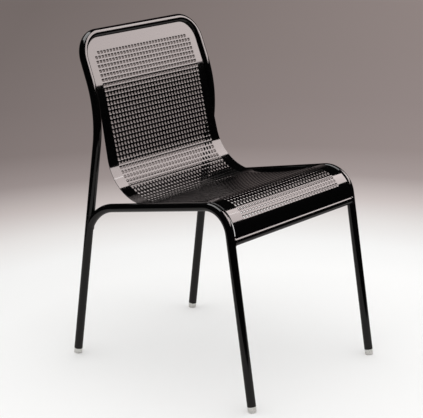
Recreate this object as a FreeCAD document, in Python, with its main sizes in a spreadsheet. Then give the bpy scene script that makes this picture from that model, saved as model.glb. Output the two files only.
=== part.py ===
import FreeCAD, Part
import Sketcher
import math
import os

# A stacking side chair: one sheet of perforated steel, bent to a back, a seat and a short front apron,
# and welded into a frame of round steel tube. The tube's ends stand on four plastic glides.
# Sizes are in millimetres and degrees. +Z is up from the floor, the chair faces -Y, and the sitter's
# left is +X. The origin lies on the floor, midway between the front and the rear feet.

os.makedirs("parts", exist_ok=True)
doc = FreeCAD.newDocument("PerforatedChair")
Vector = FreeCAD.Vector

# Driving dimensions
sizes = doc.addObject("Spreadsheet::Sheet", "Sizes")
DRIVING = (
    ("tube_diameter", 20.0, "outside of every frame tube"),
    ("tube_wall", 2.0, "wall of every frame tube"),
    ("weld_gap", 0.3, "space between two pieces that are welded together"),
    ("foot_depth", 548.2, "front feet to rear feet, between tube centres on the floor"),
    ("rear_foot_spacing", 425.7, "between the rear tube centres on the floor"),
    ("knee_spacing", 406.9, "between the tube centres where the back bends rearward"),
    ("top_spacing", 400.8, "between the tube centres at the top rail"),
    ("knee_height", 600.0, "floor to the corner point of the back's bend"),
    ("back_rise", 170.0, "from that corner point up to the centre of the top rail"),
    ("rear_leg_slant", 7.57, "rear legs, degrees from upright"),
    ("back_recline", 21.73, "upper back, degrees from upright"),
    ("knee_bend", 297.0, "bend radius of the tube at the back's bend"),
    ("top_bend", 58.5, "bend radius of the tube at the top corners"),
    ("front_foot_spacing", 454.4, "between the front tube centres on the floor"),
    ("front_bend_spacing", 449.6, "between the corner points at the front of the seat rails"),
    ("front_bend_height", 455.2, "floor to the corner point at the front of the seat rails"),
    ("front_leg_slant", 9.61, "front legs, degrees from upright"),
    ("seat_rail_slope", 11.43, "seat rails, degrees up towards the front"),
    ("front_bend", 61.3, "bend radius of the tube at the front of the seat rails"),
    ("rear_arch_bend", 110.0, "bend radius of the tube where it drops to the rear leg"),
    ("rear_arch_drop", 133.2, "from the front corner point down to where the arch meets the rear leg"),
    ("front_rail_drop", 79.3, "from the front corner point down to the centre of the front rail"),
    ("sheet_thickness", 1.5, "perforated sheet"),
    ("sheet_forward", 1.5, "sheet's front face ahead of the tube centres in the upper back"),
    ("sheet_knee_turn", 8.7, "turn in which the sheet follows the back's bend, degrees"),
    ("lumbar_bend", 112.0, "radius of the sheet between back and seat"),
    ("seat_dish", 930.0, "radius of the seat from back to front"),
    ("seat_front_rise", 18.6, "slope of the seat just behind the front bend, degrees"),
    ("sheet_over_rail", 8.7, "sheet's top face outside the tube centres round the front bend"),
    ("bead_size", 1.6, "weld round a tube joint, measured out from the tubes"),
    ("front_bead_stop", 4.5, "front rail's weld stops this short of the front leg's centre"),
    ("stitch_length", 18.0, "each short weld that holds the sheet"),
    ("stitch_radius", 3.0, "radius of those short welds"),
    ("stitch_set_back", 1.8, "their centre behind the sheet's rear face"),
    ("stitch_set_in", 1.0, "their centre inside the tube's surface line"),
    ("top_stitches", 5, "short welds under the top rail"),
    ("upright_stitches", 3, "short welds down each side of the back"),
    ("seat_stitches", 4, "short welds along each seat rail"),
    ("front_stitches", 5, "short welds along the front rail"),
    ("glide_height", 13.0, "floor to the end of the tube, along its centre"),
    ("glide_overlap", 1.2, "glide stock below the floor line, cut away to stand flat"),
    ("glide_inset", 0.4, "glide's radius less than the tube's"),
    ("glide_edge", 3.0, "rounding of the glide's lower edge"),
    ("glide_plug_length", 18.0, "stem inside the tube"),
    ("glide_plug_clearance", 0.15, "stem to the inside of the tube"),
    ("glide_plug_lead", 1.5, "bevel at the stem's upper end"),
)
for row, (alias, value, meaning) in enumerate(DRIVING, start=1):
    sizes.set(f"A{row}", alias)
    sizes.set(f"B{row}", str(value))
    sizes.set(f"C{row}", meaning)
    sizes.setAlias(f"B{row}", alias)
doc.recompute()


def size(alias):
    return float(sizes.get(alias))


def slope(alias):
    return math.radians(size(alias))


TUBE_RADIUS = size("tube_diameter") / 2
CLEAR_RADIUS = TUBE_RADIUS + size("weld_gap")
OUTER = "Sizes.tube_diameter / 2"
BORE = "Sizes.tube_diameter / 2 - Sizes.tube_wall"
CLEAR = "Sizes.tube_diameter / 2 + Sizes.weld_gap"
GROWN = "Sizes.tube_diameter / 2 + Sizes.bead_size"
SIDES = {"left": 1, "right": -1}


# Paths of bent tube
def bend_arc(before, corner, after, radius):
    """Start, middle and end of the arc that rounds a corner."""
    back = (before - corner).normalize()
    ahead = (after - corner).normalize()
    half = back.getAngle(ahead) / 2
    reach = radius / math.tan(half)
    inward = (back + ahead).normalize()
    middle = corner + inward * (radius / math.sin(half) - radius)
    return corner + back * reach, middle, corner + ahead * reach


def rounded_path(points, radii):
    """Edges of an open path whose inner corners are rounded; a radius of 0 keeps the corner sharp."""
    edges = []
    here = points[0]
    for before, corner, after, radius in zip(points, points[1:], points[2:], radii):
        if radius > 0:
            start, middle, end = bend_arc(before, corner, after, radius)
            edges.append(Part.LineSegment(here, start).toShape())
            edges.append(Part.Arc(start, middle, end).toShape())
            here = end
        else:
            edges.append(Part.LineSegment(here, corner).toShape())
            here = corner
    edges.append(Part.LineSegment(here, points[-1]).toShape())
    return edges


def path_object(name, edges):
    path = doc.addObject("Part::Feature", name)
    path.Shape = Part.Wire(edges)
    return path


def swept_rod(name, path, radius_formula):
    """A round bar along a path; its radius is bound to the sheet."""
    first = path.Shape.Edges[0]
    start = first.valueAt(first.FirstParameter)
    along = first.tangentAt(first.FirstParameter)
    ring = doc.addObject("Part::Circle", f"{name}_ring")
    ring.setExpression("Radius", radius_formula)
    ring.Placement = FreeCAD.Placement(start, FreeCAD.Rotation(Vector(0, 0, 1), along))
    rod = doc.addObject("Part::Sweep", name)
    rod.Sections = [ring]
    rod.Spine = (path, [f"Edge{number + 1}" for number in range(len(path.Shape.Edges))])
    rod.Solid = True
    return rod


def cut(name, base, tool):
    result = doc.addObject("Part::Cut", name)
    result.Base = base
    result.Tool = tool
    return result


def common(name, base, tool):
    result = doc.addObject("Part::Common", name)
    result.Base = base
    result.Tool = tool
    return result


NODES = []


def node(piece, label):
    """Marks a finished piece of the chair; the label names its file."""
    piece.Label = label
    NODES.append(piece)
    return piece


# Where the tube centres run
REAR_FOOT_Y = size("foot_depth") / 2
FRONT_FOOT_Y = -size("foot_depth") / 2
KNEE_Y = REAR_FOOT_Y - size("knee_height") * math.tan(slope("rear_leg_slant"))
TOP_Y = KNEE_Y + size("back_rise") * math.tan(slope("back_recline"))
TOP_Z = size("knee_height") + size("back_rise")
FRONT_BEND_Y = FRONT_FOOT_Y + size("front_bend_height") * math.tan(slope("front_leg_slant"))
FRONT_RAIL_Z = size("front_bend_height") - size("front_rail_drop")


def point_between(low, high, z):
    return low + (high - low) * ((z - low.z) / (high.z - low.z))


def hoop_points(side):
    """Foot, knee and top corner of one side of the hoop, on the tube's centre."""
    foot = Vector(side * size("rear_foot_spacing") / 2, REAR_FOOT_Y, 0)
    knee = Vector(side * size("knee_spacing") / 2, KNEE_Y, size("knee_height"))
    corner = Vector(side * size("top_spacing") / 2, TOP_Y, TOP_Z)
    return foot, knee, corner


def side_points(side):
    """Joint on the rear leg, front corner point and front foot of one side frame."""
    foot, knee, _ = hoop_points(side)
    joint = point_between(foot, knee, size("front_bend_height") - size("rear_arch_drop"))
    bend = Vector(side * size("front_bend_spacing") / 2, FRONT_BEND_Y, size("front_bend_height"))
    front_foot = Vector(side * size("front_foot_spacing") / 2, FRONT_FOOT_Y, 0)
    return joint, bend, front_foot


def tube_end(foot, above):
    """Where a leg's tube stops above the floor."""
    return point_between(foot, above, size("glide_height"))


# The hoop: both rear legs, both uprights and the top rail in one bent tube
left = hoop_points(SIDES["left"])
right = hoop_points(SIDES["right"])
hoop_path = path_object(
    "hoop_path",
    rounded_path(
        [tube_end(left[0], left[1]), left[1], left[2], right[2], right[1], tube_end(right[0], right[1])],
        [size("knee_bend"), size("top_bend"), size("top_bend"), size("knee_bend")],
    ),
)
hoop_rod = swept_rod("hoop_rod", hoop_path, OUTER)
hoop_clear = swept_rod("hoop_clear", hoop_path, CLEAR)
hoop_grown = swept_rod("hoop_grown", hoop_path, GROWN)
node(cut("hoop", hoop_rod, swept_rod("hoop_bore", hoop_path, BORE)), "back_hoop_and_rear_legs")


# The side frames: an arch off the rear leg, a seat rail and a front leg in one bent tube
def side_edges(side):
    """The arch leaves the rear leg's centre on an arc that ends in line with the seat rail."""
    joint, bend, front_foot = side_points(side)
    level = Vector(joint.x - bend.x, joint.y - bend.y, 0).normalize()
    rearward = level * math.cos(slope("seat_rail_slope")) - Vector(0, 0, math.sin(slope("seat_rail_slope")))
    below = level * -math.sin(slope("seat_rail_slope")) - Vector(0, 0, math.cos(slope("seat_rail_slope")))
    radius = size("rear_arch_bend")
    depth = (joint - bend).dot(below)
    reach = math.sqrt(2 * radius * depth - depth * depth)
    arch_end = bend + rearward * ((joint - bend).dot(rearward) - reach)
    centre = arch_end + below * radius
    middle = centre + ((joint - centre) + (arch_end - centre)).normalize() * radius
    arch = Part.Arc(joint, middle, arch_end).toShape()
    return [arch] + rounded_path([arch_end, bend, tube_end(front_foot, bend)], [size("front_bend")])


side_paths = {}
side_rods = {}
side_clears = {}
side_growns = {}
for name, side in SIDES.items():
    side_paths[name] = path_object(f"side_path_{name}", side_edges(side))
    side_rods[name] = swept_rod(f"side_rod_{name}", side_paths[name], OUTER)
    side_clears[name] = swept_rod(f"side_clear_{name}", side_paths[name], CLEAR)
    side_growns[name] = swept_rod(f"side_grown_{name}", side_paths[name], GROWN)
    side_bore = swept_rod(f"side_bore_{name}", side_paths[name], BORE)
    side_tube = cut(f"side_tube_{name}", side_rods[name], side_bore)
    node(cut(f"side_{name}", side_tube, hoop_clear), f"side_frame_{name}")


# The front rail: a straight tube between the front legs, shaped at both ends to fit round them
def front_rail_end(side):
    _, bend, front_foot = side_points(side)
    return point_between(front_foot, bend, FRONT_RAIL_Z)


FRONT_RAIL_Y = front_rail_end(SIDES["left"]).y
rail_path = path_object(
    "front_rail_path",
    [Part.LineSegment(front_rail_end(SIDES["right"]), front_rail_end(SIDES["left"])).toShape()],
)
rail_rod = swept_rod("front_rail_rod", rail_path, OUTER)
rail_tube = cut("front_rail_tube", rail_rod, swept_rod("front_rail_bore", rail_path, BORE))
rail_right_end = cut("front_rail_right_end", rail_tube, side_clears["right"])
node(cut("front_rail", rail_right_end, side_clears["left"]), "front_cross_rail")


# The sheet, seen from the side: the line of its front and top face, as (y, z)
def polar(angle):
    """Unit vector in the side view, angle from the rear (+Y) towards up (+Z)."""
    return Vector(0, math.cos(angle), math.sin(angle))


def front_arc_centre():
    """Centre of the seat rails' front bend, which the sheet shares."""
    _, bend, front_foot = side_points(SIDES["left"])
    rear = Vector(0, bend.y, bend.z) + polar(-slope("seat_rail_slope"))
    foot = Vector(0, front_foot.y, front_foot.z)
    corner = Vector(0, bend.y, bend.z)
    start, middle, _ = bend_arc(rear, corner, foot, size("front_bend"))
    return middle + (middle - corner).normalize() * size("front_bend")


back_up = Vector(0, math.sin(slope("back_recline")), math.cos(slope("back_recline")))
back_front = Vector(0, -math.cos(slope("back_recline")), math.sin(slope("back_recline")))
top = Vector(0, TOP_Y, TOP_Z)
knee = Vector(0, KNEE_Y, size("knee_height"))

knee_turn = slope("back_recline") + slope("rear_leg_slant")
knee_reach = size("knee_bend") * math.tan(knee_turn / 2)
knee_centre = knee + back_up * knee_reach - back_front * size("knee_bend")
knee_face_radius = size("knee_bend") + size("sheet_forward")

sheet_top = top + back_front * size("sheet_forward") - back_up * CLEAR_RADIUS
sheet_knee_start = knee_centre + back_front * knee_face_radius


def knee_face_point(turn):
    """Point of the face after it has followed the back's bend through this turn."""
    lean = slope("back_recline") - turn
    return knee_centre + Vector(0, -math.cos(lean), math.sin(lean)) * knee_face_radius


sheet_knee_end = knee_face_point(slope("sheet_knee_turn"))
lower_lean = slope("back_recline") - slope("sheet_knee_turn")
lower_up = Vector(0, math.sin(lower_lean), math.cos(lower_lean))
lower_front = Vector(0, -math.cos(lower_lean), math.sin(lower_lean))

front_centre = front_arc_centre()
front_radius = size("front_bend") + size("sheet_over_rail")
seat_normal = Vector(0, math.sin(slope("seat_front_rise")), math.cos(slope("seat_front_rise")))
dish_end = front_centre + seat_normal * front_radius
dish_centre = dish_end + seat_normal * size("seat_dish")

# The lumbar arc touches the straight lower back and the dish, so its centre lies on a line beside the
# first and on a circle inside the second.
lumbar_line = sheet_knee_end + lower_front * size("lumbar_bend")
to_dish = dish_centre - lumbar_line
beside = to_dish.dot(lower_front)
reach = math.sqrt((size("seat_dish") - size("lumbar_bend")) ** 2 - beside ** 2)
lumbar_centre = lumbar_line + lower_up * (to_dish.dot(lower_up) - reach)
lumbar_start = lumbar_centre - lower_front * size("lumbar_bend")
lumbar_end = lumbar_centre + (lumbar_centre - dish_centre).normalize() * size("lumbar_bend")


def beside_front_rail(radius, distance):
    """Direction from the front bend's centre to the point at this radius, this far from the front rail."""
    to_rail = Vector(0, FRONT_RAIL_Y, FRONT_RAIL_Z) - front_centre
    span = to_rail.Length
    cosine = (radius ** 2 + span ** 2 - distance ** 2) / (2 * radius * span)
    rail_angle = math.atan2(to_rail.z, to_rail.y) % (2 * math.pi)
    return polar(rail_angle - math.acos(cosine))


underside_radius = front_radius - size("sheet_thickness")
front_arc_end = front_centre + beside_front_rail(underside_radius, CLEAR_RADIUS) * front_radius


def arc_about(centre, start, end, radius):
    middle = centre + ((start - centre).normalize() + (end - centre).normalize()).normalize() * radius
    return Part.Arc(start, middle, end).toShape()


sheet_path = path_object(
    "sheet_path",
    [
        Part.LineSegment(sheet_top, sheet_knee_start).toShape(),
        arc_about(knee_centre, sheet_knee_start, sheet_knee_end, knee_face_radius),
        Part.LineSegment(sheet_knee_end, lumbar_start).toShape(),
        arc_about(lumbar_centre, lumbar_start, lumbar_end, size("lumbar_bend")),
        arc_about(dish_centre, lumbar_end, dish_end, size("seat_dish")),
        arc_about(front_centre, dish_end, front_arc_end, front_radius),
    ],
)


# The sheet's outline: the back is drawn in the plane of the upper back, the seat in plan
def rail_centre_x(y):
    """Centre of the left seat rail in plan."""
    joint, bend, _ = side_points(SIDES["left"])
    return bend.x + (joint.x - bend.x) * (y - bend.y) / (joint.y - bend.y)


def rail_edge_x(y):
    joint, bend, _ = side_points(SIDES["left"])
    splay = math.atan2(bend.x - joint.x, joint.y - bend.y)
    return rail_centre_x(y) - CLEAR_RADIUS / math.cos(splay)


def back_point(x, down):
    """A point of the upper back's plane, measured from the middle of the top rail."""
    return top - back_up * down + Vector(x, 0, 0)


def prism(name, corners, radii, along, length_formula):
    """A closed outline with rounded corners, drawn out evenly to both sides."""
    start = (corners[0] + corners[-1]) / 2
    edges = rounded_path([start] + corners + [start], radii)
    outline = doc.addObject("Part::Feature", f"{name}_outline")
    outline.Shape = Part.Face(Part.Wire(edges))
    block = doc.addObject("Part::Extrusion", name)
    block.Base = outline
    block.DirMode = "Custom"
    block.Dir = along
    block.Symmetric = True
    block.Solid = True
    block.setExpression("LengthFwd", length_formula)
    return block


split = lumbar_centre + ((lumbar_start - lumbar_centre) + (lumbar_end - lumbar_centre)).normalize() * (
    size("lumbar_bend")
)
split_down = (top - split).dot(back_up)
split_x = rail_edge_x(split.y)
upright_splay = math.atan2(
    (size("knee_spacing") - size("top_spacing")) / 2, size("back_rise") / math.cos(slope("back_recline"))
)
knee_down = (top - knee).dot(back_up)
knee_x = size("knee_spacing") / 2 - CLEAR_RADIUS / math.cos(upright_splay)
top_edge_x = knee_x - (knee_down - CLEAR_RADIUS) * math.tan(upright_splay)
overlap_down = split_down + size("sheet_thickness") * 2
sheet_corner = size("top_bend") - CLEAR_RADIUS
back_block = prism(
    "back_block",
    [
        back_point(-split_x, overlap_down),
        back_point(-split_x, split_down),
        back_point(-knee_x, knee_down),
        back_point(-top_edge_x, CLEAR_RADIUS),
        back_point(top_edge_x, CLEAR_RADIUS),
        back_point(knee_x, knee_down),
        back_point(split_x, split_down),
        back_point(split_x, overlap_down),
    ],
    [0, 0, 0, sheet_corner, sheet_corner, 0, 0, 0],
    back_front,
    "Sizes.foot_depth",
)
front_edge_y = front_centre.y - front_radius - size("sheet_thickness")


def seat_prism(name, rear_y, rear_x, front_x):
    return prism(
        name,
        [
            Vector(-rear_x, rear_y, split.z),
            Vector(rear_x, rear_y, split.z),
            Vector(front_x, front_edge_y, split.z),
            Vector(-front_x, front_edge_y, split.z),
        ],
        [0, 0, 0, 0],
        Vector(0, 0, 1),
        "Sizes.foot_depth",
    )


# Behind the place where the dish runs level with the rails the sheet's edge is straight. Ahead of it the
# sheet reaches over the rails' inner side and is shaped to the tube.
level_y = dish_centre.y - size("seat_dish") * math.sin(slope("seat_rail_slope"))
seat_block = seat_prism("seat_block", split.y, split_x, rail_edge_x(front_edge_y))
reach_block = seat_prism("reach_block", level_y, rail_centre_x(level_y), rail_centre_x(front_edge_y))
sheet_outline = doc.addObject("Part::MultiFuse", "sheet_outline")
sheet_outline.Shapes = [back_block, seat_block, reach_block]

sheet_section = doc.addObject("Part::Offset2D", "sheet_section")
sheet_section.Source = sheet_path
sheet_section.Mode = "Skin"
sheet_section.Fill = True
sheet_section.setExpression("Value", "-Sizes.sheet_thickness")
sheet_blank = doc.addObject("Part::Extrusion", "sheet_blank")
sheet_blank.Base = sheet_section
sheet_blank.DirMode = "Custom"
sheet_blank.Dir = Vector(1, 0, 0)
sheet_blank.Symmetric = True
sheet_blank.Solid = True
sheet_blank.setExpression("LengthFwd", "Sizes.front_foot_spacing")
sheet_trimmed = common("sheet_trimmed", sheet_blank, sheet_outline)
sheet_right_edge = cut("sheet_right_edge", sheet_trimmed, side_clears["right"])
shell = node(cut("sheet", sheet_right_edge, side_clears["left"]), "seat_and_back_shell")


# Welds round the tube joints: the metal that lies near both tubes and inside neither
def tube_weld(name, label, first_grown, second_grown, first_rod, second_rod, trimming):
    filled = common(f"{name}_filled", first_grown, second_grown)
    beside_first = cut(f"{name}_beside_first", filled, first_rod)
    beside_second = cut(f"{name}_beside_second", beside_first, second_rod)
    return node(cut(name, beside_second, trimming), label)


def behind_leg(name, side):
    """The space behind a rear leg's centre plane, where the arch leaves no seam."""
    foot, knee, _ = hoop_points(side)
    block = doc.addObject("Part::Box", f"behind_leg_{name}")
    block.setExpression("Length", "4 * Sizes.tube_diameter")
    block.setExpression("Width", "2 * Sizes.tube_diameter")
    block.setExpression("Height", "Sizes.knee_height")
    upright = FreeCAD.Rotation(Vector(1, 0, 0), Vector(0, 1, 0), knee - foot, "ZXY")
    sideways = upright.multVec(Vector(2 * size("tube_diameter"), 0, 0))
    block.Placement = FreeCAD.Placement(foot - sideways, upright)
    return block


for name, side in SIDES.items():
    tube_weld(
        f"rear_weld_{name}", f"weld_rear_leg_{name}",
        hoop_grown, side_growns[name], hoop_rod, side_rods[name], behind_leg(name, side),
    )
    inner_end = front_rail_end(side) - Vector(side * size("front_bead_stop"), 0, 0)
    middle_path = path_object(
        f"front_weld_path_{name}",
        [Part.LineSegment(Vector(0, inner_end.y, inner_end.z), inner_end).toShape()],
    )
    rail_grown = swept_rod(f"front_weld_grown_{name}", middle_path, GROWN)
    tube_weld(
        f"front_weld_{name}", f"weld_front_rail_{name}",
        rail_grown, side_growns[name], rail_rod, side_rods[name], shell,
    )


# Short welds that hold the sheet, laid in the corner between its rear face and a tube
def evenly(start, end, count):
    """Middles of equal shares of the stretch from start to end."""
    share = (end - start) / count
    return [start + share * (number + 0.5) for number in range(count)]


def stitch(name, centre, along):
    bead = doc.addObject("Part::Cylinder", name)
    bead.setExpression("Radius", "Sizes.stitch_radius")
    bead.setExpression("Height", "Sizes.stitch_length")
    half = along * (size("stitch_length") / 2)
    bead.Placement = FreeCAD.Placement(centre - half, FreeCAD.Rotation(Vector(0, 0, 1), along))
    return bead


def corner_centre(axis_point, ahead, inward, rear_face):
    """Centre of a short weld beside a tube; rear_face is the sheet's rear face ahead of the tube's centre."""
    offset = rear_face - size("stitch_set_back")
    across = math.sqrt(TUBE_RADIUS ** 2 - offset ** 2) + size("stitch_set_in")
    return axis_point + ahead * offset + inward * across


def stitch_row(name, label, beads, rod):
    row = doc.addObject("Part::Compound", f"{name}_row")
    row.Links = beads
    beside_tube = cut(f"{name}_beside_tube", row, rod)
    return node(cut(name, beside_tube, shell), label)


rear_offset = size("sheet_forward") - size("sheet_thickness")
top_half = size("top_spacing") / 2 - size("top_bend")
top_beads = [
    stitch(f"top_stitch_{number}", corner_centre(top + Vector(x, 0, 0), back_front, -back_up, rear_offset),
           Vector(1, 0, 0))
    for number, x in enumerate(evenly(-top_half, top_half, int(size("top_stitches"))))
]
stitch_row("top_stitches", "sheet_welds_top_rail", top_beads, hoop_rod)


def upright_stations():
    """Centre and direction of the tube beside the sheet, from the top corner to where the sheet leaves it."""
    first_down = size("top_bend")
    straight = (top - knee_centre).dot(back_up)
    turned = slope("sheet_knee_turn")
    length = straight - first_down + turned * size("knee_bend")
    for along in evenly(0, length, int(size("upright_stitches"))):
        down = first_down + along
        if down < straight:
            yield top - back_up * down, back_up, back_front
        else:
            lean = slope("back_recline") - (down - straight) / size("knee_bend")
            ahead = Vector(0, -math.cos(lean), math.sin(lean))
            yield knee_centre + ahead * size("knee_bend"), Vector(0, math.sin(lean), math.cos(lean)), ahead


def upright_x(z):
    _, knee_point, corner = hoop_points(SIDES["left"])
    return point_between(knee_point, corner, z).x


def upright_beads(name, side):
    beads = []
    for number, (place, along, ahead) in enumerate(upright_stations()):
        axis_point = place + Vector(side * upright_x(place.z), 0, 0)
        centre = corner_centre(axis_point, ahead, Vector(-side, 0, 0), rear_offset)
        beads.append(stitch(f"upright_stitch_{name}_{number}", centre, along))
    return beads


def seat_beads(name, side):
    """Welds along a seat rail, each in line with the sheet where it lies."""
    joint, corner, _ = side_points(side)
    rail_slope = slope("seat_rail_slope")
    up = Vector(0, 0, 1)
    forward = Vector(corner.x - joint.x, corner.y - joint.y, 0).normalize()
    along_rail = forward * math.cos(rail_slope) + up * math.sin(rail_slope)
    over_rail = up * math.cos(rail_slope) - forward * math.sin(rail_slope)
    inward = up.cross(forward) * -side
    beads = []
    for number, y in enumerate(evenly(lumbar_end.y, dish_end.y, int(size("seat_stitches")))):
        axis_point = corner + along_rail * ((y - corner.y) / along_rail.y)
        face_z = dish_centre.z - math.sqrt(size("seat_dish") ** 2 - (y - dish_centre.y) ** 2)
        face = (face_z - axis_point.z) * math.cos(rail_slope)
        centre = corner_centre(axis_point, over_rail, inward, face - size("sheet_thickness"))
        rise = math.asin((dish_centre.y - y) / size("seat_dish"))
        along_sheet = forward * math.cos(rise) + up * math.sin(rise)
        beads.append(stitch(f"seat_stitch_{name}_{number}", centre, along_sheet))
    return beads


for name, side in SIDES.items():
    stitch_row(f"upright_stitches_{name}", f"sheet_welds_back_{name}", upright_beads(name, side), hoop_rod)
    stitch_row(f"seat_stitches_{name}", f"sheet_welds_seat_{name}", seat_beads(name, side), side_rods[name])

bead_radius = underside_radius - size("stitch_set_back")
bead_place = front_centre + beside_front_rail(bead_radius, TUBE_RADIUS + size("stitch_set_in")) * bead_radius
front_half = rail_edge_x(front_edge_y)
front_beads = [
    stitch(f"front_stitch_{number}", bead_place + Vector(x, 0, 0), Vector(1, 0, 0))
    for number, x in enumerate(evenly(-front_half, front_half, int(size("front_stitches"))))
]
stitch_row("front_stitches", "sheet_welds_front_rail", front_beads, rail_rod)


# Glides: a stem in the tube's end and a head that is rounded, then cut to stand flat on the floor
HEAD_RADIUS = "Sizes.tube_diameter / 2 - Sizes.glide_inset"
STEM_RADIUS = "Sizes.tube_diameter / 2 - Sizes.tube_wall - Sizes.glide_plug_clearance"


def disc_sketch(body, name, radius_formula):
    """A circle on the body's own level plane, its radius bound to the sheet."""
    plane = next(item for item in body.Origin.OriginFeatures if item.Role == "XY_Plane")
    sketch = body.newObject("Sketcher::SketchObject", name)
    sketch.AttachmentSupport = (plane, [""])
    sketch.MapMode = "FlatFace"
    sketch.addGeometry(Part.Circle(Vector(0, 0, 0), Vector(0, 0, 1), TUBE_RADIUS), False)
    sketch.addConstraint(Sketcher.Constraint("Coincident", 0, 3, -1, 1))
    circle = sketch.addConstraint(Sketcher.Constraint("Radius", 0, TUBE_RADIUS))
    sketch.setExpression(f"Constraints[{circle}]", radius_formula)
    return sketch


def edge_at(shape, height):
    """Name of the round edge that lies level at this height of the glide."""
    for number, edge in enumerate(shape.Edges):
        box = edge.BoundBox
        if abs(box.ZMin - height) < 0.001 and abs(box.ZMax - height) < 0.001:
            return f"Edge{number + 1}"


def glide_body(name):
    """The glide before it is cut, with the tube's end face at its own z = 0."""
    body = doc.addObject("PartDesign::Body", f"{name}_body")
    head = body.newObject("PartDesign::Pad", f"{name}_head")
    head.Profile = disc_sketch(body, f"{name}_head_sketch", HEAD_RADIUS)
    head.Reversed = True
    head.setExpression("Length", "Sizes.glide_height + Sizes.glide_overlap")
    stem = body.newObject("PartDesign::Pad", f"{name}_stem")
    stem.Profile = disc_sketch(body, f"{name}_stem_sketch", STEM_RADIUS)
    stem.setExpression("Length", "Sizes.glide_plug_length")
    doc.recompute()
    rounding = body.newObject("PartDesign::Fillet", f"{name}_rounding")
    rounding.Base = (stem, [edge_at(stem.Shape, -size("glide_height") - size("glide_overlap"))])
    rounding.setExpression("Radius", "Sizes.glide_edge")
    doc.recompute()
    lead = body.newObject("PartDesign::Chamfer", f"{name}_lead")
    lead.Base = (rounding, [edge_at(rounding.Shape, size("glide_plug_length"))])
    lead.setExpression("Size", "Sizes.glide_plug_lead")
    body.Tip = lead
    return body


below_floor = doc.addObject("Part::Box", "below_floor")
below_floor.setExpression("Length", "2 * Sizes.foot_depth")
below_floor.setExpression("Width", "2 * Sizes.foot_depth")
below_floor.setExpression("Height", "2 * Sizes.tube_diameter")
below_floor.Placement.Base = Vector(-size("foot_depth"), -size("foot_depth"), -2 * size("tube_diameter"))
for name, side in SIDES.items():
    rear_foot, rear_above, _ = hoop_points(side)
    _, front_above, front_foot = side_points(side)
    for end, foot, above in (("rear", rear_foot, rear_above), ("front", front_foot, front_above)):
        glide = glide_body(f"glide_{end}_{name}")
        along = (above - foot).normalize()
        glide.Placement = FreeCAD.Placement(tube_end(foot, above), FreeCAD.Rotation(Vector(0, 0, 1), along))
        node(cut(f"glide_{end}_{name}_flat", glide, below_floor), f"glide_{end}_{name}")

# Build, check everything, and only then write the pieces
doc.recompute()
for item in doc.Objects:
    if "Invalid" in item.State or "Error" in item.State:
        raise RuntimeError(f"{item.Name} failed: {item.State}")
for piece in NODES:
    if piece.Shape.isNull() or not piece.Shape.isValid() or not piece.Shape.Solids:
        raise RuntimeError(f"{piece.Label} has no valid solid")
for piece in NODES:
    piece.Shape.exportStep(f"parts/{piece.Label}.step")
    print(piece.Label, len(piece.Shape.Solids), round(piece.Shape.Volume, 1))
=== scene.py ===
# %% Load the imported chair
import math

import bmesh
import bpy
import numpy as np
from mathutils import Matrix, Vector


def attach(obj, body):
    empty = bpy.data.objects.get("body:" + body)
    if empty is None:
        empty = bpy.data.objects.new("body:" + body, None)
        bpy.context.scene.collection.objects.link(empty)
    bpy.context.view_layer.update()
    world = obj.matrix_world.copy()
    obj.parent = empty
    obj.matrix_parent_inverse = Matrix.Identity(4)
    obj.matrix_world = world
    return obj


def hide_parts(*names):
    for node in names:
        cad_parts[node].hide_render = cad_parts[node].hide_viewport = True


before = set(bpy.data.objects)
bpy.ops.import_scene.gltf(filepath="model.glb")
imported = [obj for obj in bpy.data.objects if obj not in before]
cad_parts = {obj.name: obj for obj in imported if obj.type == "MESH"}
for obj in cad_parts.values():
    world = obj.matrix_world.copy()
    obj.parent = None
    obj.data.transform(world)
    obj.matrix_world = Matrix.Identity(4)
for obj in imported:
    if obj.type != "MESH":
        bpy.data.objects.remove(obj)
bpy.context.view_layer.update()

print("pieces in the packed chair:", len(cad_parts))

# %% [markdown]
# # A stacking chair in black perforated steel
# The chair is a bent-tube frame with one long steel sheet welded between the tubes. The sheet is the back,
# the curved lower back and the seat in one run, and it is punched with about two thousand round holes.
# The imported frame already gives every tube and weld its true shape, so the tubes stay and get a finish.
# The plain sheet is replaced here by one with real holes. All lengths are in metres.
#
# ## The camera
# The photograph is taken from the chair's right front, looking down on it by sixteen degrees, with a long
# lens. A long lens keeps the legs nearly parallel. The camera is placed by its direction and distance from a
# point in the middle of the chair. A Track To constraint would aim it too, but a matrix set once is exact.

# %% Camera
CAMERA_DIRECTION = math.radians(-50.27)
CAMERA_RISE = math.radians(16.02)
CAMERA_DISTANCE = 3.6491
LOOK_AT = Vector((0.0, 0.0313, 0.35767))
LENS = 131.56
SENSOR = 36.0

toward_camera = Vector((
    math.sin(CAMERA_DIRECTION) * math.cos(CAMERA_RISE),
    -math.cos(CAMERA_DIRECTION) * math.cos(CAMERA_RISE),
    math.sin(CAMERA_RISE),
))
camera_data = bpy.data.cameras.new("photo_camera")
camera_data.lens = LENS
camera_data.sensor_width = SENSOR
camera_data.sensor_fit = "HORIZONTAL"
camera = bpy.data.objects.new("photo_camera", camera_data)
bpy.context.scene.collection.objects.link(camera)
turn = toward_camera.to_track_quat("Z", "Y").to_matrix().to_4x4()
camera.matrix_world = Matrix.Translation(LOOK_AT + toward_camera * CAMERA_DISTANCE) @ turn
bpy.context.scene.camera = camera
print("camera stands at", [round(v, 3) for v in camera.location])

# %% [markdown]
# ## Small helpers for node materials
# Every finish below is a node graph. It could be drawn by hand in the shader editor, but a written graph
# comes out the same each time. Four helpers keep it short to read: they start a material, add a node with
# its plain values, set the ends of a Map Range, and join many sockets at once.

# %% Material helpers
def start_material(name):
    """A material with a Principled shader already joined to its output."""
    material = bpy.data.materials.new(name)
    material.use_nodes = True
    nodes = material.node_tree.nodes
    return material, nodes, material.node_tree.links, nodes["Principled BSDF"]


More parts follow.
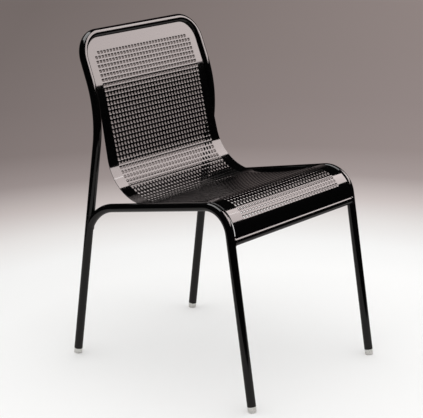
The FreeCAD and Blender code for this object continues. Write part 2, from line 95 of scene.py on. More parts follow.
def add(nodes, kind, **values):
    """Adds a node; a value goes to the input socket of that name, or else to the node itself."""
    made = nodes.new(kind)
    for key, value in values.items():
        words = key.replace("_", " ")
        if words in made.inputs:
            made.inputs[words].default_value = value
        else:
            setattr(made, key, value)
    return made


def set_range(map_range, **ends):
    """Sets a Map Range node's ends, such as From_Min=0.2."""
    for key, value in ends.items():
        map_range.inputs[key.replace("_", " ")].default_value = value


def link_chain(links, *sockets):
    """Joins sockets in pairs: output to input, output to input."""
    for start, end in zip(sockets[::2], sockets[1::2]):
        links.new(start, end)


print("materials that came with the packed chair:", len(bpy.data.materials))

# %% [markdown]
# ## The gloss black enamel
# The tubes and the sheet carry the same stoved black enamel. It is nearly as smooth as a mirror, so what the
# eye sees is the room: a bright soft box shows as sharp white lines along the tubes. Sprayed enamel also
# has orange peel, a faint waviness a few millimetres across, and hands and cloths leave areas that are a
# trace duller. A Bump node from a low noise gives the first, and a second noise moves the roughness a
# little for the other. Base colour is close to black, because paint gloss comes from the shader's
# reflection and not from its colour.

# %% Enamel finish
ENAMEL_IOR = 1.5
PIGMENT_DARK = (0.0008, 0.0008, 0.0009, 1.0)
PIGMENT_LIGHT = (0.0016, 0.0015, 0.0015, 1.0)
PIGMENT_SCALE = 900.0
HANDLING_SCALE = 14.0
HANDLING_FROM, HANDLING_TO = 0.35, 0.7
PEEL_STRENGTH = 0.6


def enamel(name, roughness_low, roughness_high, peel_scale, peel_depth):
    """Black enamel; the roughness moves between its two ends, and the peel's depth is in metres."""
    material, nodes, links, shader = start_material(name)
    shader.inputs["IOR"].default_value = ENAMEL_IOR
    place = add(nodes, "ShaderNodeTexCoord")
    pigment = add(nodes, "ShaderNodeTexNoise", Scale=PIGMENT_SCALE, Detail=2.0)
    pigment_colour = add(nodes, "ShaderNodeValToRGB")
    pigment_colour.color_ramp.elements[0].color = PIGMENT_DARK
    pigment_colour.color_ramp.elements[1].color = PIGMENT_LIGHT
    handling = add(nodes, "ShaderNodeTexNoise", Scale=HANDLING_SCALE, Detail=4.0, Roughness=0.6)
    handling_range = add(nodes, "ShaderNodeMapRange")
    set_range(handling_range, From_Min=HANDLING_FROM, From_Max=HANDLING_TO)
    set_range(handling_range, To_Min=roughness_low, To_Max=roughness_high)
    peel = add(nodes, "ShaderNodeTexNoise", Scale=peel_scale, Detail=1.0, Roughness=0.4)
    bump = add(nodes, "ShaderNodeBump", Strength=PEEL_STRENGTH, Distance=peel_depth)
    link_chain(
        links,
        place.outputs["Object"], pigment.inputs["Vector"],
        pigment.outputs["Fac"], pigment_colour.inputs["Fac"],
        pigment_colour.outputs["Color"], shader.inputs["Base Color"],
        place.outputs["Object"], handling.inputs["Vector"],
        handling.outputs["Fac"], handling_range.inputs["Value"],
        handling_range.outputs["Result"], shader.inputs["Roughness"],
        place.outputs["Object"], peel.inputs["Vector"],
        peel.outputs["Fac"], bump.inputs["Height"],
        bump.outputs["Normal"], shader.inputs["Normal"],
    )
    return material


print("enamel recipe ready, index of refraction", ENAMEL_IOR)

# %% [markdown]
# ## Three enamels from one recipe
# The rolled sheet takes the smoothest coat. The drawn tubes are a trace duller and have a little more orange
# peel. The welds are under the same enamel, but it lies over ripples, so they get a rougher surface and a
# bump over ten times as deep. One function with a few numbers keeps the three alike in all the rest.

# %% Enamels of tubes, sheet and welds
tube_enamel = enamel(
    "tube_black_enamel", roughness_low=0.05, roughness_high=0.11, peel_scale=260.0, peel_depth=0.00002,
)
sheet_enamel = enamel(
    "sheet_black_enamel", roughness_low=0.04, roughness_high=0.09, peel_scale=220.0, peel_depth=0.000012,
)
weld_enamel = enamel(
    "weld_black_enamel", roughness_low=0.12, roughness_high=0.22, peel_scale=700.0, peel_depth=0.00025,
)
print("enamels:", tube_enamel.name, sheet_enamel.name, weld_enamel.name)

# %% [markdown]
# ## The foot glides
# Each leg ends in a small moulded cap. In the photograph the caps are milky and let some light through.
# A Principled shader with part transmission and a rough surface does this, and a little noise in the
# roughness gives the scuffs that such a foot gets on a floor.

# %% Glide plastic
GLIDE_IOR = 1.49
GLIDE_LETS_THROUGH = 0.45
CLOUD_DARK = (0.62, 0.61, 0.58, 1.0)
CLOUD_LIGHT = (0.78, 0.77, 0.74, 1.0)
CLOUD_SCALE = 120.0
SCUFF_SCALE = 600.0
SCUFF_SMOOTH, SCUFF_ROUGH = 0.18, 0.42
SCUFF_STRENGTH, SCUFF_DEPTH = 0.4, 0.00005


def milky_plastic(name):
    """Cloudy white plastic with a lightly scuffed surface."""
    material, nodes, links, shader = start_material(name)
    shader.inputs["IOR"].default_value = GLIDE_IOR
    shader.inputs["Transmission Weight"].default_value = GLIDE_LETS_THROUGH
    place = add(nodes, "ShaderNodeTexCoord")
    cloud = add(nodes, "ShaderNodeTexNoise", Scale=CLOUD_SCALE, Detail=3.0)
    cloud_colour = add(nodes, "ShaderNodeValToRGB")
    cloud_colour.color_ramp.elements[0].color = CLOUD_DARK
    cloud_colour.color_ramp.elements[1].color = CLOUD_LIGHT
    scuff = add(nodes, "ShaderNodeTexNoise", Scale=SCUFF_SCALE, Detail=3.0)
    scuff_range = add(nodes, "ShaderNodeMapRange")
    set_range(scuff_range, To_Min=SCUFF_SMOOTH, To_Max=SCUFF_ROUGH)
    bump = add(nodes, "ShaderNodeBump", Strength=SCUFF_STRENGTH, Distance=SCUFF_DEPTH)
    link_chain(
        links,
        place.outputs["Object"], cloud.inputs["Vector"],
        cloud.outputs["Fac"], cloud_colour.inputs["Fac"],
        cloud_colour.outputs["Color"], shader.inputs["Base Color"],
        place.outputs["Object"], scuff.inputs["Vector"],
        scuff.outputs["Fac"], scuff_range.inputs["Value"],
        scuff_range.outputs["Result"], shader.inputs["Roughness"],
        scuff.outputs["Fac"], bump.inputs["Height"],
        bump.outputs["Normal"], shader.inputs["Normal"],
    )
    return material


glide_plastic = milky_plastic("glide_milky_plastic")
print("plastic:", glide_plastic.name)

# %% [markdown]
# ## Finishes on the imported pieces
# The record names a slot for each piece's material. Each slot gets one of the finishes above, so every
# packed tube, weld and glide is covered in one loop. Setting nineteen pieces by hand would work too, but one
# is easily missed.

# %% Finish by slot
FINISH_OF_SLOT = {
    "frame_enamel": tube_enamel,
    "sheet_enamel": sheet_enamel,
    "weld_enamel": weld_enamel,
    "glide_plastic": glide_plastic,
}
for name, packed in sorted(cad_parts.items()):
    for material_slot in packed.material_slots:
        material_slot.material = FINISH_OF_SLOT[material_slot.material.name.split(".")[0]]
print("finished pieces:", len(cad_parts))

# %% [markdown]
# ## The line of the sheet, seen from the side
# The sheet is a flat strip that was rolled over bends, so its shape is one line drawn out sideways. The line
# is made of straights and arcs that meet without a kink. Starting at the top edge it runs straight
# down the back, follows the bend of the uprights, runs straight again, turns through the tight lower
# back, sweeps gently across the seat and rolls over the front. A curve object with a few handles could
# follow it too, but its handles can't be measured off a photograph as lengths and radii can. Walking along
# such a line needs only its heading: a straight keeps it, and an arc turns it by length over radius. The
# face's normal is at right angles to the heading, which later gives exact reflections.

# %% Side line
START_Y = 0.25691
START_Z = 0.760987
START_LEAN = math.radians(21.73)
STRETCHES = [  # length and radius; radius 0 is a straight, and its sign says which way an arc turns
    (0.095065, 0.0),
    (0.045325, 0.2985),
    (0.139301, 0.0),
    (0.164757, -0.112),
    (0.183182, -0.930),
    (0.130392, 0.070),
]
SHEET_LENGTH = sum(length for length, _ in STRETCHES)


def walk(start, step, radius):
    """Where a step leads from a start of y, z and heading: along a straight, or along an arc."""
    y, z, heading = start
    if not radius:
        return y + step * np.cos(heading), z + step * np.sin(heading), heading + np.zeros_like(step)
    turned_to = heading + step / radius
    return (
        y + radius * (np.sin(turned_to) - np.sin(heading)),
        z - radius * (np.cos(turned_to) - np.cos(heading)),
        turned_to,
    )


def sheet_line(along):
    """Points and normals of the sheet's front face, at these distances from its top edge."""
    along = np.asarray(along, float)
    places = np.zeros((len(along), 3))
    start = (START_Y, START_Z, -math.pi / 2 - START_LEAN)
    begun = 0.0
    for number, (length, radius) in enumerate(STRETCHES, start=1):
        here = along >= begun
        step = np.clip(along - begun, 0.0, length if number < len(STRETCHES) else None)
        places[here] = np.column_stack(walk(start, step, radius))[here]
        start = walk(start, length, radius)
        begun += length
    headings = places[:, 2]
    return places[:, :2], np.column_stack([np.sin(headings), -np.cos(headings)])


ends, _ = sheet_line([0.0, SHEET_LENGTH])
print("sheet runs", round(SHEET_LENGTH * 1000), "mm from", ends[0].round(4), "to", ends[1].round(4))

# %% [markdown]
# ## The outline of the sheet
# The sheet is widest at the front of the seat and narrowest at the top, because it fills the space between
# tubes that spread. Its top corners are rounded to fit inside the bent top rail. Half the width is read
# from a short list of measured stations, and the round corner is taken off near the top.
# Beside the bends of the seat's front the edge is rolled down against the tube, and elsewhere it is only
# eased, so the roll has its own list.

# %% Outline
TOP_CORNER = 0.0482
WIDTH_STATIONS = [0.0, 0.172, 0.361, 0.58, 0.627, 0.66, 0.70, 0.74, 0.758]
HALF_WIDTHS = [0.1903, 0.19315, 0.20145, 0.2100, 0.2138, 0.2158, 0.2168, 0.2172, 0.2172]
ROLL_STATIONS = [0.0, 0.54, 0.62, 0.705, 0.735, 0.758]
ROLLS = [0.0006, 0.0006, 0.0027, 0.0027, 0.0006, 0.0006]


def half_width(along):
    """Half the sheet's width at these distances from its top edge."""
    plain = np.interp(along, WIDTH_STATIONS, HALF_WIDTHS)
    missing = np.clip(TOP_CORNER - along, 0.0, TOP_CORNER)
    return plain - (TOP_CORNER - np.sqrt(TOP_CORNER ** 2 - missing ** 2))


print("half width below the corners:", round(float(half_width(np.array([TOP_CORNER]))[0]), 4))

# %% [markdown]
# ## Where the holes are
# The punched field is a square grid. There are thirty holes in the first row, thirty-two down the back
# and thirty-four across the seat, which is wider. The grid is laid out in cells, one for each place
# where a hole can be, and every side of a cell is divided in three. A hole cell joins the twelve points
# of its border to twelve points of its hole. That is a small mesh that still keeps the holes round and
# lets neighbours share points, so two thousand of them stay light. A Boolean modifier could punch the
# holes too, but it leaves long thin faces, and those spoil the reflections of a gloss sheet.

# %% Hole grid
COLUMNS = 34
ROWS = 64
SEAT_ROWS_FROM = 37
ACROSS = 0.0105
DOWN = 0.01082
FIRST_ROW = 0.0369
THIRDS = 3
FIELD_HALF = COLUMNS * ACROSS / 2
FIELD_TOP = FIRST_ROW - DOWN / 2
FIELD_END = FIELD_TOP + ROWS * DOWN


def is_punched(row, column):
    """Whether this cell has a hole: the first row leaves out two cells a side, the rest of the back one."""
    spare = 2 if row == 0 else (1 if row < SEAT_ROWS_FROM else 0)
    return spare <= column < COLUMNS - spare


punched = [(row, column) for row in range(ROWS) for column in range(COLUMNS) if is_punched(row, column)]
print("holes:", len(punched), "field from", round(FIELD_TOP, 4), "to", round(FIELD_END, 4))

# %% [markdown]
# ## The lines of the grid
# Lines across the sheet come in three groups: closely spaced ones round the top corners, then three to
# each row of holes, and some down the plain front lip. Lines along it are three to each column, a few
# across each plain border, and the last ones go round the eased or rolled edge. Above the field the whole
# row is squeezed in to follow the round corners.

# %% Grid lines
TOP_LINES = 12
LIP_PARTS = 10
BORDER_PARTS = 5
ROLL_TURNS = np.radians([0.0, 25.0, 50.0, 75.0])

corner_turns = np.linspace(0.0, math.acos(1 - FIELD_TOP / TOP_CORNER), TOP_LINES)
top_lines = TOP_CORNER * (1 - np.cos(corner_turns))
field_lines = FIELD_TOP + np.arange(1, ROWS * THIRDS + 1) * DOWN / THIRDS
lip_lines = np.linspace(FIELD_END, SHEET_LENGTH, LIP_PARTS + 1)[1:]
lines_down = np.concatenate([top_lines, field_lines, lip_lines])
FIRST_FIELD_LINE = len(top_lines) - 1

field_across = np.arange(-COLUMNS * THIRDS // 2, COLUMNS * THIRDS // 2 + 1) * ACROSS / THIRDS
field_scale = np.minimum(half_width(lines_down) / half_width(np.array([FIELD_TOP]))[0], 1.0)
field_scale[FIRST_FIELD_LINE:] = 1.0
print("lines down:", len(lines_down), "columns of points in the field:", len(field_across))

# %% [markdown]
# ## One line across the sheet
# The real sheet is flat from side to side, apart from its edges, which turn down. Each line across is filled
# from the middle out: the field, the plain border, then the turned edge as a short arc. Only one half is
# worked out, and a mirror image gives the other. The rear face has the same line, with the sheet's gauge
# taken off its height and a smaller arc at the edge.

# %% Profile of one line
SHEET_GAUGE = 0.0015


def mirrored(half, sign):
    """Both halves of a line across, from the +X half; the middle point isn't doubled."""
    return np.concatenate([sign * half[:0:-1], half])


def across_profile(row):
    """Sideways places, heights and sideways lean of one line across, on both faces."""
    wide = half_width(lines_down[row : row + 1])[0]
    roll = np.interp(lines_down[row], ROLL_STATIONS, ROLLS)
    inner_roll = max(roll - SHEET_GAUGE, 0.0)
    scale = field_scale[row]
    flat = wide - roll
    border = np.linspace(FIELD_HALF * scale, flat, BORDER_PARTS + 1)[1:]
    level_x = np.concatenate([field_across[field_across >= 0] * scale, border])
    level = np.zeros(len(level_x))
    sideways, drop = np.sin(ROLL_TURNS[1:]), np.cos(ROLL_TURNS[1:]) - 1
    front_x = np.concatenate([level_x, flat + roll * sideways])
    front_h = np.concatenate([level, roll * drop])
    rear_x = np.concatenate([level_x, flat + inner_roll * sideways])
    rear_h = np.concatenate([level, inner_roll * drop]) - SHEET_GAUGE
    lean = np.concatenate([level, ROLL_TURNS[1:]])
    return (
        mirrored(front_x, -1), mirrored(front_h, 1),
        mirrored(rear_x, -1), mirrored(rear_h, 1),
        mirrored(lean, -1),
    )


print("points in one line across:", len(across_profile(0)[0]))

# %% [markdown]
# ## Points of the two faces
# Now every line across is laid on the side line at its own distance down. The heights are measured along the
# face's normal there, so the turned edge and the gauge follow the bends. The true normal of each point is
# kept beside it: it leans sideways on the turned edge and stands straight up elsewhere.

# %% Face points
line_points, line_normals = sheet_line(lines_down)


def set_points(xs, heights, row):
    """Puts points of one line across into the chair's frame."""
    centre, normal = line_points[row], line_normals[row]
    return np.column_stack([xs, centre[0] + heights * normal[0], centre[1] + heights * normal[1]])


front_rows, rear_rows, normal_rows = [], [], []
for row in range(len(lines_down)):
    front_x, front_h, rear_x, rear_h, lean = across_profile(row)
    front_rows.append(set_points(front_x, front_h, row))
    rear_rows.append(set_points(rear_x, rear_h, row))
    normal = line_normals[row]
    normal_rows.append(np.column_stack([np.sin(lean), np.cos(lean) * normal[0], np.cos(lean) * normal[1]]))
front_grid = np.array(front_rows)
rear_grid = np.array(rear_rows)
normal_grid = np.array(normal_rows)
DOWN_COUNT, ACROSS_COUNT = front_grid.shape[:2]
FIRST_FIELD_COLUMN = ACROSS_COUNT // 2 - COLUMNS * THIRDS // 2
print("points on a face:", DOWN_COUNT, "by", ACROSS_COUNT)

# %% [markdown]
# ## The holes' rings
# A ring's points sit on a circle in the unrolled sheet, and are then laid on the side line at their own
# distance down, so the holes follow the bends as punched ones do. A punch also draws the steel a little way
# in at the rim. So each front ring is lowered by a quarter of a millimetre, and its normals lean towards the
# hole's middle. A bevel would need a second ring of faces, and leaning normals do much the same for the
# eye: they spread the end of a reflection over a few rows of holes.

# %% Hole rings
HOLE_RADIUS = 0.00305
PUNCH_DRAW = 0.00025
PUNCH_LEAN = math.radians(18.0)
SIDES_OF_HOLE = 4 * THIRDS
FIRST_CORNER = 45.0  # degrees: towards the cell's upper corner on the +X side

ring_turns = np.radians(FIRST_CORNER + np.arange(SIDES_OF_HOLE) * 360.0 / SIDES_OF_HOLE)
cells = np.array(punched, float)
ring_x = ((cells[:, 1] + 0.5) * ACROSS - FIELD_HALF)[:, None] + HOLE_RADIUS * np.cos(ring_turns)
ring_down = (FIRST_ROW + cells[:, 0] * DOWN)[:, None] - HOLE_RADIUS * np.sin(ring_turns)
ring_places, ring_normals = sheet_line(ring_down.ravel())
flat_rings = np.column_stack([ring_x.ravel(), ring_places])
ring_faces_out = np.column_stack([np.zeros(len(ring_normals)), ring_normals])
front_rings = flat_rings - ring_faces_out * PUNCH_DRAW
rear_rings = flat_rings - ring_faces_out * SHEET_GAUGE

up_way = np.column_stack([np.zeros(len(ring_normals)), ring_normals[:, 1], -ring_normals[:, 0]])
all_turns = np.tile(ring_turns, len(punched))[:, None]
to_middle = -np.cos(all_turns) * np.array([1.0, 0.0, 0.0]) - np.sin(all_turns) * up_way
rim_normals = ring_faces_out * math.cos(PUNCH_LEAN) + to_middle * math.sin(PUNCH_LEAN)
print("ring points:", len(front_rings))

# %% [markdown]
# ## Numbered points, and exact normals
# A mesh is a list of points and a list of faces that name their points by number. The points are numbered
# front face, rear face, front rings, rear rings. A gloss sheet shows every small error of shading as a wobble
# in its reflections. So each corner of each face is given the true normal of the curved sheet, in place of
# the one that would be worked out from the flat faces.

# %% Number the points
RING_START = 2 * DOWN_COUNT * ACROSS_COUNT
points = np.concatenate([
    front_grid.reshape(-1, 3), rear_grid.reshape(-1, 3), front_rings, rear_rings,
])
point_normals = np.concatenate([
    normal_grid.reshape(-1, 3), -normal_grid.reshape(-1, 3), rim_normals, -ring_faces_out,
])
quads = []
quad_normals = []


def grid_number(row, column, rear):
    """The number of a grid point, on the front or the rear face."""
    return (DOWN_COUNT * ACROSS_COUNT if rear else 0) + row * ACROSS_COUNT + column


def face(corners, normals=None):
    """Notes one four-sided face; its normals are those of its points, unless others are given."""
    quads.append(corners)
    quad_normals.append(point_normals[corners] if normals is None else normals)


print("numbered points:", len(points))

# %% [markdown]
# ## Cells with a hole
# The loop walks the twelve border points of a cell in the same order as the ring's, so each pair of
# neighbours makes one four-sided face on the front, one on the rear and one for the wall of the hole. The
# wall's normals point to the hole's middle.

# %% Faces round the holes
def cell_border(row, column, rear):
    """The twelve points round a cell, from its upper corner on the +X side, turning to -X."""
    top_line = FIRST_FIELD_LINE + row * THIRDS
    left_column = FIRST_FIELD_COLUMN + column * THIRDS
    places = [(0, THIRDS - k) for k in range(THIRDS)]
    places += [(k, 0) for k in range(THIRDS)]
    places += [(THIRDS, k) for k in range(THIRDS)]
    places += [(THIRDS - k, THIRDS) for k in range(THIRDS)]
    return [grid_number(top_line + down, left_column + side, rear) for down, side in places]


for number, (row, column) in enumerate(punched):
    first_point = number * SIDES_OF_HOLE
    front_ring = [RING_START + first_point + k for k in range(SIDES_OF_HOLE)]
    rear_ring = [k + len(front_rings) for k in front_ring]
    front_border = cell_border(row, column, False)
    rear_border = cell_border(row, column, True)
    wall_normals = to_middle[first_point : first_point + SIDES_OF_HOLE]
    for k in range(SIDES_OF_HOLE):
        after = (k + 1) % SIDES_OF_HOLE
        face([front_ring[k], front_border[k], front_border[after], front_ring[after]])
        face([rear_ring[after], rear_border[after], rear_border[k], rear_ring[k]])
        face(
            [front_ring[after], rear_ring[after], rear_ring[k], front_ring[k]],
            wall_normals[[after, after, k, k]],
        )
print("faces round the holes:", len(quads))

# %% [markdown]
# ## The plain steel and the rim
# Everywhere else four neighbouring grid points make one face. On the rear they are taken the other way
# round, because the order of its points decides which way a face looks. Last, the outline is walked once to
# close the steel's thickness. A Solidify modifier could add the thickness too, but it would lose the
# exact normals and the punched rims.

# %% Plain faces and rim
holed = set(punched)
for row in range(DOWN_COUNT - 1):
    for column in range(ACROSS_COUNT - 1):
        cell = ((row - FIRST_FIELD_LINE) // THIRDS, (column - FIRST_FIELD_COLUMN) // THIRDS)
        if cell in holed:
            continue
        corners = [(row, column), (row + 1, column), (row + 1, column + 1), (row, column + 1)]
        face([grid_number(*corner, False) for corner in corners])
        face([grid_number(*corner, True) for corner in reversed(corners)])

rim = [(0, column) for column in range(ACROSS_COUNT - 1)]
rim += [(row, ACROSS_COUNT - 1) for row in range(DOWN_COUNT - 1)]
rim += [(DOWN_COUNT - 1, column) for column in range(ACROSS_COUNT - 1, 0, -1)]
rim += [(row, 0) for row in range(DOWN_COUNT - 1, 0, -1)]
for number, place in enumerate(rim):
    after = rim[(number + 1) % len(rim)]
    corners = [
        grid_number(*place, False), grid_number(*after, False),
        grid_number(*after, True), grid_number(*place, True),
    ]
    along = points[corners[1]] - points[corners[0]]
    through = points[corners[3]] - points[corners[0]]
    out = np.cross(along, through)
    out = out / np.linalg.norm(out)
    face(corners, np.array([out] * 4))
print("faces of the sheet:", len(quads))

# %% [markdown]
# ## From lists to a mesh
# The grid points inside a holed cell belong to no face, so they are dropped and the rest numbered again.
# Each face's winding is compared with its normals, because a face that is turned over would shade black.
# The new sheet then rides on the chair's one body and stands for the plain packed sheet.

# %% Turn the lists into the perforated sheet
corner_numbers = np.array(quads)
used, corner_numbers = np.unique(corner_numbers, return_inverse=True)
corner_numbers = corner_numbers.reshape(-1, 4)
loop_normals = np.concatenate(quad_normals)
corner_points = points[used][corner_numbers]
facing = np.cross(corner_points[:, 2] - corner_points[:, 0], corner_points[:, 3] - corner_points[:, 1])
turned = (facing * loop_normals.reshape(-1, 4, 3).mean(axis=1)).sum(axis=1) < 0
print("faces turned over:", int(turned.sum()), "points dropped:", len(points) - len(used))

sheet_mesh = bpy.data.meshes.new("perforated_sheet")
sheet_mesh.from_pydata(points[used].tolist(), [], corner_numbers.tolist())
for polygon in sheet_mesh.polygons:
    polygon.use_smooth = True
sheet_mesh.normals_split_custom_set(loop_normals.tolist())
perforated_sheet = bpy.data.objects.new("perforated_sheet", sheet_mesh)
bpy.context.scene.collection.objects.link(perforated_sheet)
sheet_mesh.materials.append(sheet_enamel)
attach(perforated_sheet, "root")
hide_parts("seat_and_back_shell")
print("perforated sheet:", len(sheet_mesh.vertices), "points,", len(sheet_mesh.polygons), "faces")

# %% [markdown]
# ## The floor
# The chair stands on white studio paper with no edge in sight. A large round plate stands in for it. The
# enamel doesn't mirror this plate, because mirrored paper gets a disc of its own further on.

# %% Floor plate
FLOOR_RADIUS = 14.0
PLATE_SIDES = 96


def round_plate(name, radius):
    """A flat round plate, centred under the chair."""
    mesh = bpy.data.meshes.new(name)
    build = bmesh.new()
    bmesh.ops.create_circle(build, cap_ends=True, cap_tris=True, segments=PLATE_SIDES, radius=radius)
    build.to_mesh(mesh)
    build.free()
    plate = bpy.data.objects.new(name, mesh)
    bpy.context.scene.collection.objects.link(plate)
    return plate


studio_floor = round_plate("studio_floor", FLOOR_RADIUS)
studio_floor.visible_glossy = False
print("floor radius:", FLOOR_RADIUS)

# %% [markdown]
# ## The painted pool of light on the paper
# The real paper is white round the chair and falls off to a warm grey, a pool of light. A lamp could make
# this pool, but its shadow under the chair came out darker than the real one. So the pool of light is painted
# into the paper's colour, which changes with the distance from the chair: a Vector Math length, scaled by a
# Map
# Range and looked up in a colour ramp. The painted pool is then the same from every side.

# %% Painted pool of light on the floor, by distance
PAPER_ROUGHNESS = 0.9
POOL_SHIFT = (-0.028, 0.148, 0.0)
FLOOR_REACH = 9.0
# painted light: white round the chair, falling off to a warm grey further out
PAINTED_POOL_STEPS = [
    (0.00, (0.92, 0.915, 0.907)),
    (0.75, (0.90, 0.897, 0.889)),
    (1.00, (0.84, 0.838, 0.832)),
    (1.25, (0.710, 0.686, 0.673)),
    (1.50, (0.530, 0.477, 0.464)),
    (1.80, (0.318, 0.272, 0.264)),
    (2.20, (0.245, 0.205, 0.197)),
    (3.00, (0.223, 0.186, 0.179)),
    (4.10, (0.211, 0.176, 0.168)),
    (5.80, (0.202, 0.168, 0.160)),
    (9.00, (0.240, 0.200, 0.190)),
]

floor_painted_light, floor_nodes, floor_links, floor_shader = start_material("studio_floor_painted_light")
floor_shader.inputs["Roughness"].default_value = PAPER_ROUGHNESS
floor_shader.inputs["Specular IOR Level"].default_value = 0.0
floor_place = add(floor_nodes, "ShaderNodeTexCoord")
floor_middle = add(floor_nodes, "ShaderNodeMapping", Location=POOL_SHIFT)
floor_distance = add(floor_nodes, "ShaderNodeVectorMath", operation="LENGTH")
painted_pool_colours = add(floor_nodes, "ShaderNodeValToRGB")
floor_reach = add(floor_nodes, "ShaderNodeMapRange")
set_range(floor_reach, From_Max=FLOOR_REACH)
ramp = painted_pool_colours.color_ramp
while len(ramp.elements) < len(PAINTED_POOL_STEPS):
    ramp.elements.new(0.5)
for element, (metres, colour) in zip(ramp.elements, PAINTED_POOL_STEPS):
    element.position = metres / FLOOR_REACH
    element.color = (*colour, 1.0)
link_chain(
    floor_links,
    floor_place.outputs["Object"], floor_middle.inputs["Vector"],
    floor_middle.outputs["Vector"], floor_distance.inputs[0],
    floor_distance.outputs["Value"], floor_reach.inputs["Value"],
    floor_reach.outputs["Result"], painted_pool_colours.inputs["Fac"],
)
print("steps in the paper's colour:", len(ramp.elements))

# %% [markdown]
# ## The painted shade on one side of the paper
# Far from the chair the paper is a little darker on the camera's left, where the light falls off, and this
# shade is painted into its colour. A dot product with a direction on the floor grows evenly from one side to
# the other, and a Hue/Saturation node turns it into painted light and shade. Its share is nothing near the
# chair, so the painted pool of white stays even.

# %% Floor's painted side shade
PAINTED_LIGHT_SIDE = (0.639, -0.769, 0.0)
PAINTED_SHADE_SLOPE = 0.20
SIDE_REACH = 1.2
FALL_STARTS, FALL_IS_FULL = 1.2, 2.2

floor_side = add(floor_nodes, "ShaderNodeVectorMath", operation="DOT_PRODUCT")
floor_side.inputs[1].default_value = PAINTED_LIGHT_SIDE
floor_share = add(floor_nodes, "ShaderNodeMapRange")
set_range(floor_share, From_Min=-SIDE_REACH, From_Max=SIDE_REACH)
set_range(floor_share, To_Min=1.0 - SIDE_REACH * PAINTED_SHADE_SLOPE, To_Max=1.0 + SIDE_REACH * PAINTED_SHADE_SLOPE)
# painted shade: the far paper is made darker towards one side
floor_painted_side_shade = add(floor_nodes, "ShaderNodeHueSaturation")
floor_far = add(floor_nodes, "ShaderNodeMapRange")
set_range(floor_far, From_Min=FALL_STARTS, From_Max=FALL_IS_FULL)
link_chain(
    floor_links,
    floor_middle.outputs["Vector"], floor_side.inputs[0],
    floor_side.outputs["Value"], floor_share.inputs["Value"],
    painted_pool_colours.outputs["Color"], floor_painted_side_shade.inputs["Color"],
    floor_share.outputs["Result"], floor_painted_side_shade.inputs["Value"],
    floor_distance.outputs["Value"], floor_far.inputs["Value"],
    floor_far.outputs["Result"], floor_painted_side_shade.inputs["Fac"],
    floor_painted_side_shade.outputs["Color"], floor_shader.inputs["Base Color"],
)
studio_floor.data.materials.append(floor_painted_light)
print("nodes in the paper's material:", len(floor_nodes))

# %% [markdown]
# ## The paper that the tubes mirror
# The legs of the photographed chair show a soft grey on the sides that look down at the white paper, and
# then black, most likely because the paper ends not far off. The floor plate goes on for many metres, so
# the tubes don't mirror it. They mirror this disc of the real paper's size in its place, which gives off its
# own even light and is seen in reflections only.

# %% Mirrored paper
PAPER_RADIUS = 1.3
PAPER_LIFT = 0.0005
PAPER_GLOW = (0.45, 0.43, 0.42, 1.0)
mirrored_paper = round_plate("mirrored_paper", PAPER_RADIUS)
mirrored_paper.location.z = PAPER_LIFT
paper_finish, _, _, paper_shader = start_material("mirrored_paper_glow")
paper_shader.inputs["Base Color"].default_value = (0.0, 0.0, 0.0, 1.0)
paper_shader.inputs["Specular IOR Level"].default_value = 0.0
paper_shader.inputs["Emission Strength"].default_value = 1.0
paper_shader.inputs["Emission Color"].default_value = PAPER_GLOW
mirrored_paper.data.materials.append(paper_finish)
mirrored_paper.visible_camera = False
mirrored_paper.visible_diffuse = False
mirrored_paper.visible_shadow = False
mirrored_paper.visible_transmission = False
print("mirrored paper radius:", PAPER_RADIUS)

# %% [markdown]
# ## The lamps, and the one overhead
# Black enamel shows hardly any light of its own, only mirror images, so the three lamps are there to be
# mirrored and don't light the paper. Each is an area light with a centre, a way that it faces and a way that
# is up, and one helper turns these into its matrix. The first is a soft light overhead, which makes the
# strokes of light on the outside of the tubes' bends.

# %% Overhead light
def area_light(name, centre, facing, up, size, power):
    """An area light that is mirrored by the enamel and doesn't light dull surfaces."""
    data = bpy.data.lights.new(name, "AREA")
    data.shape = "RECTANGLE"
    data.size, data.size_y = size
    data.energy = power
    lamp = bpy.data.objects.new(name, data)
    bpy.context.scene.collection.objects.link(lamp)
    back = -Vector(facing).normalized()
    side = Vector(up).cross(back).normalized()
    true_up = back.cross(side)
    lamp.matrix_world = Matrix.Translation(centre) @ Matrix((side, true_up, back)).transposed().to_4x4()
    lamp.visible_diffuse = False
    return lamp


OVERHEAD_CENTRE = (0.1, 0.75, 3.0)
OVERHEAD_SIZE = (1.6, 2.5)
OVERHEAD_POWER = 50.0
overhead = area_light(
    "overhead_soft_light", OVERHEAD_CENTRE, (0, 0, -1), (0, 1, 0), OVERHEAD_SIZE, OVERHEAD_POWER,
)
print("overhead light:", OVERHEAD_SIZE, "at", [round(v, 2) for v in overhead.location])

# %% [markdown]
# ## The soft box
# A large soft box to the chair's left front makes the white bands on the top of the back, the lower back and
# the seat's front. Each band is a mirror image of the box, and where a band ends the box has an edge. So the
# box's place was worked out backwards, by following mirrored lines of sight from the bands' ends on the
# curved sheet. It is built up from a lower corner, so a change of size leaves two of its edges in place.

# %% Soft box
SOFT_BOX_SIDE = Vector((-0.514, -0.830, 0.217)).normalized()
SOFT_BOX_UP = Vector((0.319, 0.051, 0.946)).normalized()
SOFT_BOX_FACING = (-0.796, 0.556, 0.239)
SOFT_BOX_CORNER = Vector((2.053211, -0.4921715, 1.0464845))
SOFT_BOX_SIZE = (2.8, 4.2)
SOFT_BOX_POWER = 320.0
SOFT_BOX_COLOUR = (1.0, 0.88, 0.86)
soft_box = area_light(
    "mirrored_soft_box",
    SOFT_BOX_CORNER + SOFT_BOX_SIDE * SOFT_BOX_SIZE[0] / 2 + SOFT_BOX_UP * SOFT_BOX_SIZE[1] / 2,
    SOFT_BOX_FACING,
    SOFT_BOX_UP,
    SOFT_BOX_SIZE,
    SOFT_BOX_POWER,
)
soft_box.data.color = SOFT_BOX_COLOUR
print("soft box centre:", [round(v, 2) for v in soft_box.location])

# %% [markdown]
# ## The small bulb
# The sheet's plain border has one small glint at the lower back. A narrow bulb in front of the soft box makes
# it. Its place is found by starting at the glint and going two metres along the mirrored line of sight.

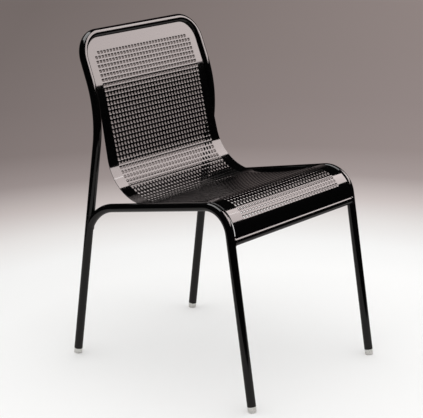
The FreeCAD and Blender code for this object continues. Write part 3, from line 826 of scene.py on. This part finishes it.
# %% Bulb
GLINT_ACROSS = -0.186
GLINT_DOWN = 0.328
BULB_WAY = Vector((0.703, -0.414, 0.578))
BULB_DISTANCE = 2.0
BULB_SIZE = (0.014, 0.24)
BULB_POWER = 0.11
glint = Vector((GLINT_ACROSS, *sheet_line([GLINT_DOWN])[0][0]))
bulb = area_light(
    "mirrored_bulb", glint + BULB_WAY * BULB_DISTANCE, -BULB_WAY, (0, 0, 1), BULB_SIZE, BULB_POWER,
)
bulb.data.shape = "ELLIPSE"
print("bulb centre:", [round(v, 2) for v in bulb.location])

# %% [markdown]
# ## The room that the enamel mirrors
# The enamel also mirrors the room. It is dark, with the warm grey of the backdrop low behind the chair. A
# picture of a studio could be wrapped round the scene, but two colours with a smooth change between them
# are enough. The dot product of a ray's direction with the way to the backdrop is large only near it,
# and a Map Range with a smooth step turns it into the backdrop's share.

# %% Mirrored room
BACKDROP_WAY = (0.766, 0.643, -0.9)
BACKDROP_STARTS, BACKDROP_IS_FULL = 0.55, 0.9
DARK_ROOM = (0.003, 0.003, 0.003, 1.0)
BACKDROP_GREY = (0.17, 0.14, 0.135, 1.0)
MIX_SHARE, MIX_A, MIX_B, MIX_RESULT = 0, 6, 7, 2  # the Mix node's sockets for colours

world = bpy.data.worlds.new("studio_room")
bpy.context.scene.world = world
world.use_nodes = True
room_nodes, room_links = world.node_tree.nodes, world.node_tree.links
room_nodes.clear()
room_place = add(room_nodes, "ShaderNodeTexCoord")
toward_backdrop = add(room_nodes, "ShaderNodeVectorMath", operation="DOT_PRODUCT")
toward_backdrop.inputs[1].default_value = BACKDROP_WAY
backdrop_share = add(room_nodes, "ShaderNodeMapRange", interpolation_type="SMOOTHSTEP")
set_range(backdrop_share, From_Min=BACKDROP_STARTS, From_Max=BACKDROP_IS_FULL)
mirrored_room = add(room_nodes, "ShaderNodeMix", data_type="RGBA")
mirrored_room.inputs[MIX_A].default_value = DARK_ROOM
mirrored_room.inputs[MIX_B].default_value = BACKDROP_GREY
link_chain(
    room_links,
    room_place.outputs["Generated"], toward_backdrop.inputs[0],
    toward_backdrop.outputs["Value"], backdrop_share.inputs["Value"],
    backdrop_share.outputs["Result"], mirrored_room.inputs[MIX_SHARE],
)
print("nodes of the mirrored room:", len(room_nodes))

# %% [markdown]
# ## Which ray sees what
# A Light Path node tells the rays apart. The paper gets even light from all round, which gives the soft, pale
# shadows of a large studio. Mirrored rays see the room made above. The camera, where it looks past the
# floor, sees one even grey. The view transform is Standard, because it shows a colour as it is written
# here, and the photograph's plain whites need that.

# %% World
EVEN_LIGHT = (1.12, 1.12, 1.12, 1.0)
SEEN_GREY = (0.205, 0.170, 0.163, 1.0)
ray_kind = add(room_nodes, "ShaderNodeLightPath")
room_colour = add(room_nodes, "ShaderNodeMix", data_type="RGBA")
room_colour.inputs[MIX_A].default_value = EVEN_LIGHT
seen_colour = add(room_nodes, "ShaderNodeMix", data_type="RGBA")
seen_colour.inputs[MIX_B].default_value = SEEN_GREY
room_glow = add(room_nodes, "ShaderNodeBackground")
room_out = add(room_nodes, "ShaderNodeOutputWorld")
link_chain(
    room_links,
    mirrored_room.outputs[MIX_RESULT], room_colour.inputs[MIX_B],
    ray_kind.outputs["Is Glossy Ray"], room_colour.inputs[MIX_SHARE],
    room_colour.outputs[MIX_RESULT], seen_colour.inputs[MIX_A],
    ray_kind.outputs["Is Camera Ray"], seen_colour.inputs[MIX_SHARE],
    seen_colour.outputs[MIX_RESULT], room_glow.inputs["Color"],
    room_glow.outputs["Background"], room_out.inputs["Surface"],
)
bpy.context.scene.view_settings.view_transform = "Standard"
print("world nodes:", len(room_nodes))
